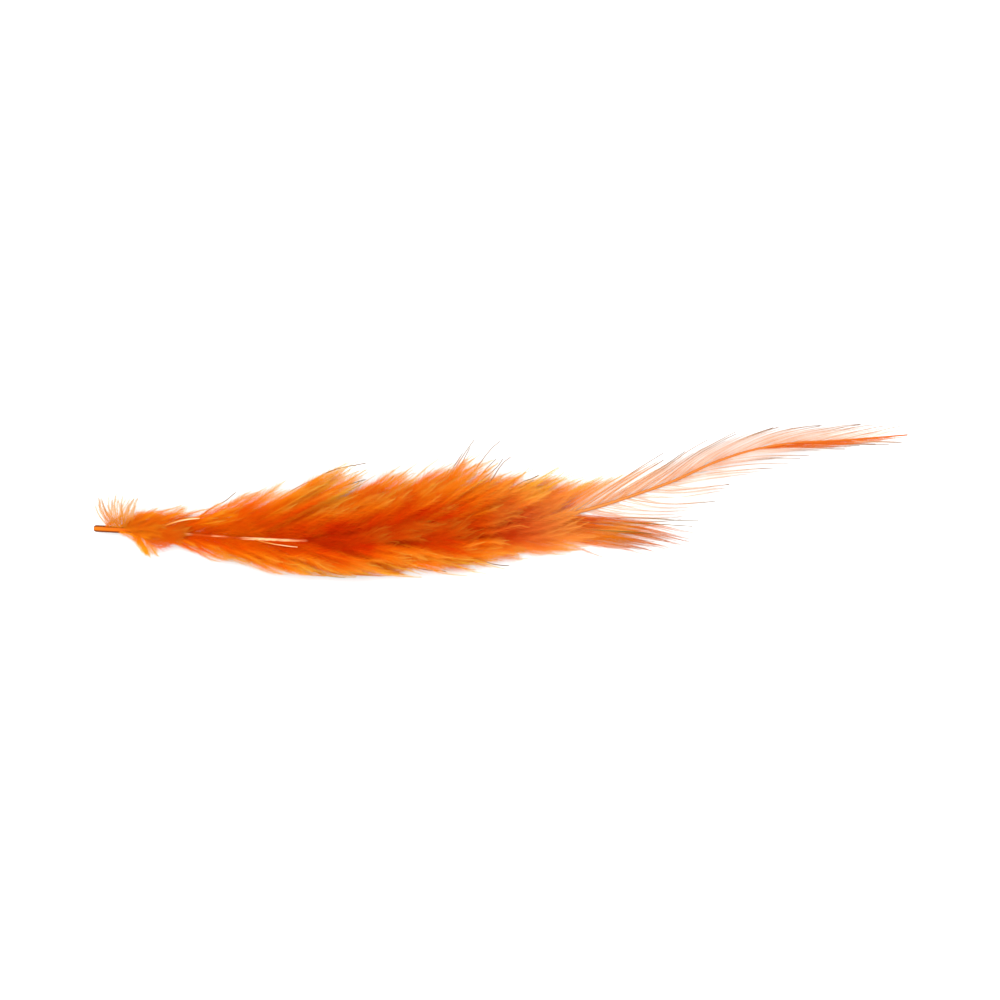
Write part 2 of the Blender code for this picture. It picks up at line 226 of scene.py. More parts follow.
# Barbules: how many a millimetre of barb has on each of its sides, their lengths, and the
# share of the barb from which they grow shorter, so that its end is a bare hair.
BARBULES_PER_MM = (10.0, 14.0)  # vane, down
BARBULE_SIZES = (0.00054, 0.00175)  # vane, down
DOWN_BARBULE_RADIUS = 0.000012
VANE_BARBULE_RADIUS = 0.000007
DOWN_HAIR_FROM, VANE_HAIR_FROM, FULL_HAIR_FROM = 0.80, 0.55, 0.80
HAIR_FULL, HAIR_BARENESS = 0.96, 0.86  # where it is barest, and how much shorter they are there
BARBULES_FROM, BARBULES_SPAN = 0.02, 0.97  # the share of the barb that has them
FIRST_BARBULES, BARBULE_GROWTH = 0.4, 4.0  # how long they are at its root, and how fast that grows
BARBULE_LENGTHS = (0.55, 1.15)  # in their mean length
BARBULE_LEAN = 34.0  # off the barb
BARBULE_LEANS = (0.55, 1.25)  # in that lean
VANE_TILT, SOFT_TILT = 0.25, 0.95  # how far out of level, in radians, and how much more in down

# Stray barbs that stand out of the outline, in LOCK_COLUMNS.
STRAYS = [
    (0.0100, 1, 0.0098, 33.0, 0.05, 0.0020),
    (0.0190, 1, 0.0222, 48.0, 0.90, 0.0046),
    (0.0185, 1, 0.0205, 45.0, 0.85, 0.0040),
    (0.0180, 1, 0.0190, 43.0, 0.75, 0.0044),
    (0.0266, 1, 0.0140, 42.0, 0.40, 0.0034),
    (0.0298, 1, 0.0136, 42.0, 0.40, 0.0030),
    (0.0402, 1, 0.0152, 50.0, 0.12, 0.0048),
    (0.0412, 1, 0.0160, 52.0, 0.20, 0.0050),
    (0.0420, 1, 0.0150, 50.0, 0.15, 0.0044),
    (0.0428, 1, 0.0155, 50.0, 0.22, 0.0046),
    (0.0440, 1, 0.0138, 50.0, 0.20, 0.0038),
    (0.0448, 1, 0.0145, 48.0, 0.20, 0.0042),
    (0.0456, 1, 0.0139, 48.0, 0.20, 0.0036),
    (0.0385, 1, 0.0132, 44.0, 0.25, 0.0030),
    (0.0365, 1, 0.0134, 42.0, 0.30, 0.0032),
    (0.0345, 1, 0.0136, 44.0, 0.30, 0.0030),
    (0.0470, 1, 0.0130, 38.0, 0.35, 0.0028),
    (0.0480, 1, 0.0138, 36.0, 0.35, 0.0026),
    (0.0210, -1, 0.0136, 34.0, 0.45, 0.0010),
    (0.0320, -1, 0.0146, 32.0, 0.45, 0.0012),
    (0.0420, -1, 0.0150, 31.0, 0.45, 0.0010),
    (0.0545, -1, 0.0208, 12.0, -1.30, 0.0010),
    (0.0570, -1, 0.0204, 11.0, -1.60, 0.0008),
    (0.0590, -1, 0.0190, 10.0, -1.90, 0.0006),
    (0.0655, 1, 0.0150, 15.5, 0.50, -0.0003),
    (0.0700, 1, 0.0150, 14.5, 0.55, -0.0003),
    (0.0760, 1, 0.0160, 13.0, 0.60, -0.0003),
    (0.0810, 1, 0.0160, 12.0, 0.60, -0.0003),
    (0.0860, 1, 0.0145, 11.5, 0.60, -0.0003),
    (0.0725, -1, 0.0122, 24.0, 0.50, -0.0003),
    (0.0765, -1, 0.0140, 17.5, 0.55, -0.0003),
    (0.0795, -1, 0.0138, 12.0, 0.55, -0.0003),
    (0.0860, -1, 0.0130, 6.5, 0.40, -0.0002),
    (0.0885, -1, 0.0132, 5.0, 0.30, -0.0002),
    (0.0905, -1, 0.0136, 4.5, 0.20, -0.0002),
    (0.0915, -1, 0.0126, 5.0, 0.20, -0.0002),
    (0.0960, -1, 0.0104, 4.0, -0.50, 0.0),
    (0.0966, -1, 0.0098, 5.0, -0.50, 0.0),
    (0.0690, -1, 0.0120, 31.0, 0.50, -0.0003),
    (0.0780, -1, 0.0138, 15.0, 0.55, -0.0003),
    (0.0815, -1, 0.0140, 11.0, 0.55, -0.0003),
    (0.0615, 1, 0.0148, 20.0, 0.50, -0.0002),
    (0.0637, 1, 0.0143, 18.0, 0.50, -0.0002),
    (0.0672, 1, 0.0146, 16.0, 0.50, -0.0002),
    (0.0722, 1, 0.0144, 15.0, 0.55, -0.0002),
    (0.0782, 1, 0.0146, 14.0, 0.55, -0.0002),
    (0.0835, 1, 0.0142, 12.5, 0.55, -0.0002),
    (0.0885, 1, 0.0130, 12.0, 0.55, -0.0002),
    (0.0915, 1, 0.0124, 12.5, 0.55, -0.0002),
    (0.0945, 1, 0.0110, 11.5, 0.50, -0.0002),
    (0.0975, 1, 0.0090, 10.5, 0.50, -0.0001),
]
# Pale ones that lie over the down: hairs whose cream colour is a painted highlight.
GLINT_STRAYS = [
    (0.0075, 1, 0.0070, 32.0, 0.85, 0.0026),
    (0.0203, -1, 0.0075, 13.0, 1.00, 0.0020),
]
# The fringe: loose barbs between the tufts that stand a little out of their outline.
FRINGE = [  # (side, first place, last place, count, longest reach, greatest lean)
    (1, 0.0174, 0.0215, 40, 1.02, 3.0),
    (1, 0.0215, 0.0300, 24, 1.02, 3.0),
    (1, 0.0300, 0.0500, 56, 1.08, 8.0),
    (-1, 0.0090, 0.0420, 36, 1.08, 8.0),
]
FRINGE_REACH = 0.94  # the shortest reach, in lengths of the tufts
FRINGE_LEAN = -4.0  # the least lean, in degrees more than the tufts
FRINGE_BEND = 0.35
FRINGE_RISES = (0.5, 1.1)  # in rises of the tufts
# Radii at root and tip, and barbules, of the fringe and of stray barbs.
FRINGE_RADII, STRAY_RADII = (0.000046, 0.000026), (0.000088, 0.000054)
FRINGE_BARBULES = dict(
    per_mm=7.0, length=0.0010, radius=DOWN_BARBULE_RADIUS, soft=1.0, hair_from=DOWN_HAIR_FROM
)
STRAY_BARBULES = dict(
    per_mm=3.0, length=0.0003, radius=VANE_BARBULE_RADIUS, soft=0.4, hair_from=VANE_HAIR_FROM
)

# How pale the down is along the feather, from the quill at 0 to the tip at 1, and its pale colour.
PALENESS = [
    (0.0, 0.75), (0.05, 0.60), (0.11, 0.0), (0.48, 0.0), (0.56, 0.50), (0.63, 0.95), (1.0, 1.0),
]
PALE_COLOURS = [
    (0.0, (0.89, 0.42, 0.013)),
    (0.30, (0.89, 0.42, 0.013)),
    (0.50, (0.88, 0.42, 0.090)),
    (1.0, (0.88, 0.42, 0.090)),
]

# Painted shade: how much deeper red its colour is near the shaft, along the feather, where shade
# falls under the tufts.
PAINTED_SHADE_NEAR_SHAFT = [
    (0.0, 0.0), (0.16, 0.0), (0.25, 0.30), (0.34, 0.78), (0.49, 0.78), (0.56, 0.20), (1.0, 0.0),
]
# The vane has the down's pale colour at its foot, and a deeper one near the shaft.
VANE_PALENESS = [(0.0, 1.0), (0.60, 0.95), (0.66, 0.60), (0.70, 0.28), (0.75, 0.06), (1.0, 0.0)]
VANE_DEEPNESS = [(0.0, 0.5), (0.66, 0.5), (0.72, 0.35), (0.79, 0.05), (1.0, 0.0)]

# The looks of barbs: colours at the root, on the body, towards the end and at the tip, colours of
# the barbules and of deep patches, which on the down and crest also give painted shade near the
# shaft, and roughness, specular and the light that passes through.
LOOKS = {
    "down": (
        [(0.70, 0.062, 0.001), (0.76, 0.112, 0.001), (0.80, 0.31, 0.008), (0.68, 0.43, 0.06)],
        [(0.80, 0.175, 0.002), (0.68, 0.036, 0.0005)],
        (0.70, 0.0, 0.35),
    ),
    # the down's colours made deeper: painted shade near the shaft
    "crest": (
        [(0.64, 0.042, 0.001), (0.70, 0.070, 0.001), (0.69, 0.135, 0.004), (0.56, 0.24, 0.02)],
        [(0.75, 0.105, 0.002), (0.56, 0.026, 0.0005)],
        (0.70, 0.0, 0.35),
    ),
    "afterfeather": (
        [(0.82, 0.25, 0.008), (0.78, 0.38, 0.06), (0.56, 0.40, 0.22), (0.40, 0.32, 0.24)],
        [(0.80, 0.34, 0.030), (0.60, 0.16, 0.010)],
        (0.60, 0.0, 0.35),
    ),
    "lower_barbs": (
        [(0.74, 0.14, 0.003), (0.70, 0.16, 0.004), (0.60, 0.16, 0.004), (0.22, 0.06, 0.006)],
        [(0.78, 0.24, 0.008), (0.62, 0.04, 0.001)],
        (0.50, 0.05, 0.30),
    ),
    "vane": (
        [(0.85, 0.54, 0.38), (0.86, 0.62, 0.51), (0.62, 0.38, 0.26), (0.20, 0.11, 0.07)],
        [(0.96, 0.85, 0.79), (0.78, 0.35, 0.12)],
        (0.45, 0.10, 0.45),
    ),
    "tip_strip": (
        [(0.76, 0.19, 0.008), (0.76, 0.19, 0.008), (0.66, 0.17, 0.012), (0.36, 0.11, 0.02)],
        [(0.80, 0.25, 0.025), (0.66, 0.07, 0.002)],
        (0.45, 0.10, 0.35),
    ),
    "hair": (
        [(0.70, 0.13, 0.004), (0.62, 0.16, 0.012), (0.22, 0.135, 0.018), (0.12, 0.085, 0.020)],
        [(0.88, 0.46, 0.08), (0.50, 0.09, 0.008)],
        (0.45, 0.10, 0.20),
    ),
    "vane_hair": (
        [(0.86, 0.50, 0.28), (0.70, 0.36, 0.18), (0.44, 0.22, 0.085), (0.17, 0.10, 0.055)],
        [(0.94, 0.78, 0.68), (0.60, 0.26, 0.10)],
        (0.45, 0.10, 0.20),
    ),
    # cream towards the tip: a painted highlight on these hairs
    "glint_hair": (
        [(0.74, 0.13, 0.003), (0.86, 0.38, 0.06), (1.0, 0.74, 0.40), (0.95, 0.60, 0.28)],
        [(0.90, 0.45, 0.12), (0.74, 0.18, 0.010)],
        (0.40, 0.20, 0.20),
    ),
    "fringe_hair": (
        [(0.70, 0.11, 0.002), (0.76, 0.17, 0.004), (0.78, 0.42, 0.035), (0.66, 0.44, 0.09)],
        [(0.80, 0.27, 0.006), (0.68, 0.12, 0.003)],
        (0.60, 0.0, 0.35),
    ),
}
BODY_AT, OUTER_AT = 0.42, 0.73  # where along a barb these colours lie
FADE = -0.85  # how the barbules' and the deep colour fade from a barb's root to its tip
BARBULE_COLOUR = 0.75  # how much of the barbules' colour there is on them
PATCH_SCALE, PATCH_DETAIL, PATCH_FROM, PATCH_TO = 230.0, 3.0, 0.42, 0.66
OWN_DEPTH, DEPTH = 0.38, 0.62  # how much a barb's own depth and all depth count
LARGEST_SHADE, BARBULES_ABOVE = 0.95, 0.999  # shades of barbs lie below, marks of barbules above

# Colours along the shaft. From 0.09 to 0.30, where the down lies over it, it is darker than its own
# colour: painted shade.
SHAFT_COLOURS_AND_SHADE = [
    (0.0, (0.56, 0.13, 0.006)),
    (0.05, (0.54, 0.085, 0.002)),
    (0.09, (0.46, 0.060, 0.001)),
    (0.30, (0.46, 0.040, 0.001)),
    (0.45, (0.54, 0.10, 0.006)),
    (0.60, (0.48, 0.17, 0.040)),
    (0.82, (0.48, 0.13, 0.020)),
    (1.0, (0.48, 0.10, 0.010)),
]
# the colour of the painted shade on the sides of the quill
PAINTED_SHADE_EDGE_COLOUR = (0.10, 0.018, 0.003)
RED_COLOUR = (0.80, 0.018, 0.001)
# the colour of the painted highlight on top of the shaft
PAINTED_HIGHLIGHT_COLOUR = (1.0, 0.60, 0.28)

# The pale line on top of the shaft, which is a painted highlight, the red line beside it, and the
# dark edges, which are painted shade on the quill's sides: how strong each is along the shaft and
# round it, where 0.25 is on top and 0.75 below.
PAINTED_HIGHLIGHT = [
    (0.0, 0.0), (0.096, 0.0), (0.103, 0.8), (0.113, 0.7), (0.119, 0.0), (0.141, 0.0),
    (0.147, 0.7), (0.156, 0.7), (0.163, 0.0), (0.175, 0.0), (0.184, 0.8), (0.200, 1.0),
    (0.232, 1.0), (0.244, 0.50), (0.256, 0.24), (0.270, 0.10), (0.285, 0.0), (1.0, 0.0),
]
PAINTED_HIGHLIGHT_ROUND = [(0.0, 0.0), (0.14, 0.0), (0.20, 1.0), (0.29, 1.0), (0.34, 0.0), (1.0, 0.0)]
RED_LINE = [(0.0, 0.0), (0.200, 0.0), (0.213, 1.0), (0.245, 1.0), (0.264, 0.0), (1.0, 0.0)]
RED_ROUND = [(0.0, 0.0), (0.33, 0.0), (0.36, 1.0), (0.48, 1.0), (0.55, 0.0), (1.0, 0.0)]
PAINTED_SHADE_EDGES = [(0.0, 1.0), (0.050, 1.0), (0.090, 0.0), (1.0, 0.0)]
PAINTED_SHADE_EDGES_ROUND = [(0.0, 1.0), (0.13, 0.9), (0.20, 0.0), (0.30, 0.0), (0.37, 0.9), (1.0, 1.0)]
GRAIN_STRETCH = (160.0, 2600.0, 2600.0)
GRAIN_DETAIL, GRAIN_FROM, GRAIN_TO = 4.0, 0.36, 0.50
GRAIN_STRENGTH, GRAIN_DEPTH = 0.25, 0.00005
SHAFT_ROUGHNESS, SHAFT_SPECULAR, SHAFT_THROUGH = 0.45, 0.04, 0.15

# The camera looks straight down.
CAMERA_HEIGHT = 0.80
FRAME_WIDTH = 0.129
SENSOR = 36.0
NEAREST = 0.01

FLOOR_HALF, FLOOR_LEVEL = 2.0, -0.00003
FLOOR_COLOUR, FLOOR_ROUGHNESS = (0.66, 0.66, 0.66, 1.0), 0.9
SKY_COLOUR, SKY_STRENGTH = (1.0, 1.0, 1.0, 1.0), 1.35
LIGHTS = [  # (name, place, size, power)
    ("key_light", (-0.24, 0.36, 0.95), 0.70, 12.0),
    ("fill_light", (0.50, -0.40, 0.80), 0.80, 5.0),
]


def smooth_step(share):
    share = np.clip(share, 0.0, 1.0)
    return share * share * (3.0 - 2.0 * share)


def downiness(place):
    """1 in the loose down, 0 in the flat vane, and between them where one turns into the other."""
    return float(1.0 - smooth_step((place - DOWN_END + DOWN_CHANGE) / (2.0 * DOWN_CHANGE)))


def between(vane_value, down_value, soft):
    return vane_value + (down_value - vane_value) * soft


def read_at(place, rows, column=1):
    """What this column of a table says at a place, which is in its first column."""
    columns = list(zip(*rows))
    return float(np.interp(place, columns[0], columns[column]))


def on_side(side, rows):
    return [row for row in rows if row[1] == side]


def unit(ways):
    return ways / (np.linalg.norm(ways, axis=-1, keepdims=True) + 1e-12)


def sideways_of(ways):
    """Level ways square to these ways."""
    return unit(np.stack([-ways[..., 1], ways[..., 0], 0.0 * ways[..., 0]], -1))


class Shaft:
    """The shaft's course as a smooth curve, which is read by distance from the cut end."""

    SAMPLES = 800

    def __init__(self):
        knots = np.array(SHAFT_COURSE) + np.array(QUILL_END)
        slopes = np.gradient(knots[:, 1], knots[:, 0])
        x = np.linspace(knots[0, 0], knots[-1, 0], self.SAMPLES)
        part = np.clip(np.searchsorted(knots[:, 0], x, side="right") - 1, 0, len(knots) - 2)
        width = knots[part + 1, 0] - knots[part, 0]
        t = (x - knots[part, 0]) / width
        y = (
            (2 * t**3 - 3 * t**2 + 1) * knots[part, 1]
            + (t**3 - 2 * t**2 + t) * width * slopes[part]
            + (3 * t**2 - 2 * t**3) * knots[part + 1, 1]
            + (t**3 - t**2) * width * slopes[part + 1]
        )
        self.course = np.stack([x, y], axis=1)
        steps = np.linalg.norm(np.diff(self.course, axis=0), axis=1)
        self.places = np.concatenate([[0.0], np.cumsum(steps)])
        self.length = float(self.places[-1])
        self.ways = np.gradient(self.course, self.places, axis=0)

    def radius(self, place):
        share = np.clip(place / self.length, 0.0, 1.0)
        return TIP_RADIUS + (QUILL_RADIUS - TIP_RADIUS) * (1.0 - share**TAPER_POWER)

    def height(self, place):
        """Height of the shaft's middle above the surface."""
        before = np.clip((FLAT_FROM - place) / FLAT_FROM, 0.0, None)
        beyond = np.clip((place - FLAT_TO) / (self.length - FLAT_TO), 0.0, None)
        rise = QUILL_RISE * before**2 + TIP_RISE * beyond**2
        return rise + self.radius(place) * math.cos(math.pi / SOLID_SIDES)

    def frame(self, place):
        """Points of the course and the ways along and across it, which run on past its ends."""
        inside = np.clip(place, 0.0, self.length)
        point = np.stack([np.interp(inside, self.places, self.course[:, i]) for i in (0, 1)], -1)
        along = np.stack([np.interp(inside, self.places, self.ways[:, i]) for i in (0, 1)], -1)
        along = unit(along)
        across = np.stack([-along[..., 1], along[..., 0]], -1)
        return point + along * (place - inside)[..., None], along, across


SHAFT = Shaft()


class Lock:
    """A group of barbs that leave the shaft side by side and draw together towards one tip.

    Its facts are LOCK_COLUMNS, the number of barbs, and those below. Arch is how high it bows. A
    full lock has barbs of nearly one length, downy almost to the tip. Fluff scales its barbules,
    reach its barbs, and sway how far they stray. Each kind of lock has its own route: the places
    and distances out from the shaft of points at these shares of its barbs, which are shifted from
    its middle barb by this much and lean outwards by this much more.
    """

    span = TUFT_WIDTH
    thickness = DOWN_THICKNESS
    arch = fluff = None
    full = False
    reach = sway = 1.0

    def __init__(self, **facts):
        vars(self).update(facts)
        self.soft = downiness(self.place)
        if self.arch is None:
            self.arch = self.tip_rise * LOOSE_ARCH
        if self.fluff is None:
            self.fluff = read_at(self.place, FLUFF)

    def barb_points(self, shift, share, lean):
        place, out = self.route(shift, share, lean)
        point, _, across = SHAFT.frame(place)
        plan = point + across * out[..., None]
        rise = self.tip_rise * share + self.arch * 4.0 * share * (1.0 - share)
        height = SHAFT.height(place) + rise
        return np.concatenate([plan, height[..., None]], axis=-1)


class SweptLock(Lock):
    """A lock that leaves the shaft at an angle and bends forward, with its barbs along it."""

    def route(self, shift, share, lean):
        angle = math.radians(self.angle) + lean
        turn = angle * self.bend
        now = angle - turn * share
        ahead = self.length * (np.sin(angle) - np.sin(now)) / turn
        out = self.length * (np.cos(now) - np.cos(angle)) / turn
        return self.place + shift + ahead, self.side * out


class CrestLock(Lock):
    """A lock that runs straight along over the shaft, with its barbs beside each other."""

    def route(self, shift, share, lean):
        width = CREST_ROOT + (1.0 - CREST_ROOT) * smooth_step(share / CREST_FULL_FROM)
        out = self.side * CREST_BOW * np.sin(math.pi * share) + shift * width
        out = out + (CREST_DRIFT + lean * self.length) * share * share
        return self.place + self.length * share, out


def vane_locks(side):
    """The locks of one vane, drawn by the same dice as the solid's."""
    dice = random.Random(SEED + side)
    spacing = (LAST_PLACE - FIRST_PLACE) / LOCKS_PER_SIDE
    offset = PLUS_Y_OFFSET if side > 0 else MINUS_Y_OFFSET
    rows = PLUS_Y_BARBS if side > 0 else MINUS_Y_BARBS
    for index in range(LOCKS_PER_SIDE):
        place = FIRST_PLACE + spacing * (index + offset)
        soft = downiness(place)
        down_tip = dice.uniform(*DOWN_TIPS) - float(SHAFT.height(place))
        yield SweptLock(
            angle=read_at(place, rows, 2) + dice.uniform(*ANGLE_SPREAD) * soft,
            bend=between(*BENDS, soft),
            place=place,
            side=side,
            length=read_at(place, rows) * dice.uniform(*LENGTH_SPREAD),
            span=spacing * between(1.0, DOWN_OVERLAP, soft),
            thickness=between(VANE_THICKNESS, DOWN_THICKNESS, soft),
            arch=between(VANE_ARCH, DOWN_ARCH * dice.uniform(*ARCH_SPREAD), soft),
            tip_rise=down_tip * soft - VANE_DROOP * (1.0 - soft) + ALTERNATE_LIFT * (index % 2),
            barbs=round(read_at(place, BARBS_IN_LOCK, 1 if side > 0 else 2)),
            reach=between(1.0, PLUS_Y_REACH if side > 0 else MINUS_Y_REACH, soft),
        )


def swept_locks(rows, **facts):
    for row in rows:
        yield SweptLock(**dict(zip(LOCK_COLUMNS, row)), **facts)


def tufts(side):
    barbs = PLUS_Y_TUFT_BARBS if side > 0 else MINUS_Y_TUFT_BARBS
    return swept_locks(on_side(side, TUFTS), barbs=barbs, full=True, reach=TUFT_REACH)


def crest():
    for place, side, length, rise in CREST:
        yield CrestLock(
            place=place,
            side=side,
            length=length,
            span=CREST_WIDTH,
            tip_rise=rise,
            barbs=CREST_BARBS,
            fluff=CREST_FLUFF,
        )


def afterfeather(side):
    return swept_locks(
        on_side(side, AFTERFEATHER),
        span=AFTERFEATHER_WIDTH,
        thickness=AFTERFEATHER_THICKNESS,
        barbs=AFTERFEATHER_BARBS if side > 0 else WEDGE_BARBS,
        fluff=AFTERFEATHER_FLUFF if side > 0 else WEDGE_FLUFF,
    )


def waves(dice, count, share, size):
    """Two slow waves for each barb, which grow towards its tip."""
    total = 0.0
    for turns in WAVE_TURNS:
        phase = dice.uniform(0.0, 2.0 * math.pi, (count, 1))
        drawn = np.clip(dice.normal(0.0, 1.0, (count, 1)), -WAVE_LIMIT, WAVE_LIMIT)
        total = total + drawn * size / turns * np.sin(2.0 * math.pi * turns * share + phase)
    return total * share


def lock_barbs(lock, dice):
    """Middle lines of a lock's barbs, as an array of (barb, row, xyz)."""
    count = lock.barbs
    soft = lock.soft
    steps = np.linspace(0.0, 1.0, BARB_ROWS + 1)[None, :]
    shortest = TUFT_SHORTEST if lock.full else between(*SHORTEST, soft)
    reach = dice.uniform(shortest, LONGEST, (count, 1)) * lock.reach
    fraction = np.linspace(-0.5, 0.5, count)[:, None] + dice.normal(0.0, SCATTER, (count, 1))
    if lock.full:
        reach = reach * (1.0 - SHORT_AT_BACK * np.clip(-2.0 * fraction, 0.0, 1.0))
    share = steps * reach
    strand = np.floor(np.arange(count) * STRANDS_IN_LOCK / count)[:, None]
    strand_fraction = (strand + 0.5) / STRANDS_IN_LOCK - 0.5
    lean = np.clip(dice.normal(0.0, 1.0, (count, 1)), MOST_INWARD, MOST_OUTWARD)
    lean = lean * np.radians(DOWN_LEAN) * soft * lock.sway
    still = 0.0 * share
    own = lock.barb_points(fraction * lock.span + still, share, lean)
    strand_line = lock.barb_points(strand_fraction * lock.span + still, share, still)
    middle = lock.barb_points(still, share, still)
    vane_cling = VANE_CLING * smooth_step(share / VANE_CLINGS_FROM)
    cling = between(vane_cling, DOWN_CLING * share**2, soft)
    points = own + (strand_line - own) * cling[..., None]
    power = between(*GATHER_POWERS, soft)
    gather = dice.uniform(*DOWN_GATHER, (count, 1)) * soft * share**power
    points = points + (middle - points) * gather[..., None]
    wave = between(*WAVE_SIZES, soft) * min(1.0, lock.length / FULL_LENGTH) * lock.sway
    aside = sideways_of(np.gradient(points, axis=1))
    points = points + aside * waves(dice, count, share, wave)[..., None]
    points[..., 2] += waves(dice, count, share, wave)
    spread = dice.uniform(-0.5, 0.5, (count, 1)) * lock.thickness
    spread = spread * smooth_step(share / BUNCH_FULL_FROM)
    points[..., 2] += spread * (1.0 - LOCK_THINNING * share)
    return points


def eased(value, limit):
    """Values past a knee just under this limit draw near to it, but never pass it."""
    knee = limit - EASE
    over = np.maximum(value - knee, 0.0)
    return np.where(value > knee, knee + EASE * (1.0 - np.exp(-over / EASE)), value)


def within_box(points, radius):
    """Lifts what would be under the floor, and eases back what is near the top and the sides."""
    points[..., 1] = eased(points[..., 1], cad_box[1][1] + SIDE_ROOM)
    points[..., 1] = -eased(-points[..., 1], SIDE_ROOM - cad_box[0][1])
    points[..., 2] = np.maximum(eased(points[..., 2], CEILING), radius + FLOOR_GAP)
    return points


class Strands:
    """Collects barbs and barbules, and turns them into one mesh with its strand maps."""

    CELLS = 24  # the barbules of a barb share this many cells of the bake map
    COLUMNS = 3  # barbs side by side on the bake map
    BARB_LANES = (0.05, 0.25, 0.45)  # the lanes of a barb's three corners
    BARBULE_LANES = {1.0: (0.52, 0.74), -1.0: (0.76, 0.98)}  # by the side that they are on
    RIDGE_LANE = 0.04
    CELL_CORNERS = (0.0, 0.5, 1.0, 0.5)

    def __init__(self):
        self.points = []
        self.faces = []
        self.maps = []
        self.rows = 0
        self.used = 0

    def add(self, points, faces, share, row, lane, cell, fine):
        """One group of vertices and triangles, and where each is on its barb and on the maps."""
        columns = [np.broadcast_to(c, share.shape).ravel() for c in (share, row, lane, cell, fine)]
        self.points.append(points.reshape(-1, 3))
        self.faces.append(faces + self.used)
        self.maps.append(np.stack(columns, -1))
        self.used += share.size

    def add_barbs(self, points, radii):
        """Three-sided tapering tubes with closed ends, one for each middle line."""
        count, rows, _ = points.shape
        ways = unit(np.gradient(points, axis=1))
        across = sideways_of(ways)
        over = np.cross(ways, across)
        ring = []
        for i in range(3):
            angle = math.pi / 2 + 2.0 * math.pi * i / 3
            offset = math.cos(angle) * across + math.sin(angle) * over
            ring.append(points + offset * radii[..., None])
        corners = np.stack(ring, axis=2)
        index = np.arange(count * rows * 3).reshape(count, rows, 3)
        faces = []
        for i in range(3):
            j = (i + 1) % 3
            a, b = index[:, :-1, i], index[:, :-1, j]
            c, d = index[:, 1:, j], index[:, 1:, i]
            faces.append(np.stack([a, b, c], -1).reshape(-1, 3))
            faces.append(np.stack([a, c, d], -1).reshape(-1, 3))
        faces.append(index[:, 0, ::-1])
        faces.append(index[:, -1, :])
        share = np.broadcast_to(np.linspace(0.0, 1.0, rows)[None, :, None], (count, rows, 3))
        row = self.rows + np.arange(count)[:, None, None]
        lanes = np.array(self.BARB_LANES)
        self.add(corners, np.concatenate(faces), share, row, lanes, share, 0.0)

    def add_barbules(self, points, per_mm, length, radius, soft, hair_from, dice):
        """Barbules on both sides of each barb. Soft ones stand out all round it."""
        count, rows, _ = points.shape
        barb_length = np.linalg.norm(np.diff(points, axis=1), axis=-1).sum(axis=1)
        number = max(4, int(round(float(barb_length.mean()) / MM * per_mm)))
        for hand in (1.0, -1.0):
            share = (np.arange(number)[None, :] + dice.uniform(0.0, 1.0, (count, number))) / number
            share = BARBULES_FROM + BARBULES_SPAN * share
            at = share * (rows - 1)
            low = np.clip(at.astype(int), 0, rows - 2)
            part = (at - low)[..., None]
            each = np.arange(count)[:, None]
            base = points[each, low] * (1.0 - part) + points[each, low + 1] * part
            way = unit(points[each, low + 1] - points[each, low])
            across = sideways_of(way)
            over = np.cross(way, across)
            size = length * dice.uniform(*BARBULE_LENGTHS, (count, number))
            size = size * smooth_step(FIRST_BARBULES + share * BARBULE_GROWTH)
            bare = smooth_step((share - hair_from) / (HAIR_FULL - hair_from))
            size = size * (1.0 - HAIR_BARENESS * bare)
            tilt = dice.uniform(-1.0, 1.0, (count, number)) * (VANE_TILT + SOFT_TILT * soft)
            lean = np.radians(BARBULE_LEAN) * dice.uniform(*BARBULE_LEANS, (count, number))
            out = across * (hand * np.cos(tilt))[..., None] + over * np.sin(tilt)[..., None]
            out = way * np.cos(lean)[..., None] + out * np.sin(lean)[..., None]
            tip = within_box(base + out * size[..., None], 0.0)
            self.add_blades(base, tip, radius, share, hand)

    def add_blades(self, base, tip, radius, share, hand):
        """Pointed blades from these bases to these tips, each folded along a ridge on its top."""
        count, number, _ = base.shape
        way = unit(tip - base)
        across = unit(np.cross(way, np.array([0.0, 0.0, 1.0])))
        over = np.cross(across, way)
        corners = [base - across * radius, base + over * radius, base + across * radius, tip]
        index = np.arange(count * number * 4).reshape(-1, 4)
        faces = [index[:, [0, 1, 3]], index[:, [1, 2, 3]]]
        cell = np.floor(share * self.CELLS)[..., None] + np.array(self.CELL_CORNERS)
        cell = cell / self.CELLS
        low, high = self.BARBULE_LANES[hand]
        lane = np.array([low, low + self.RIDGE_LANE, low, high])
        row = self.rows + np.arange(count)[:, None, None]
        share = np.broadcast_to(share[..., None], cell.shape)
        self.add(np.stack(corners, axis=2), np.concatenate(faces), share, row, lane, cell, 1.0)

    def add_lock(self, lock, dice, radii, **barbules):
        """The barbs of a lock, with these radii from root to tip, and their barbules."""
        points = within_box(lock_barbs(lock, dice), radii)
        self.add_barbs(points, radii)
        self.add_barbules(points, dice=dice, **barbules)
        self.rows += len(points)

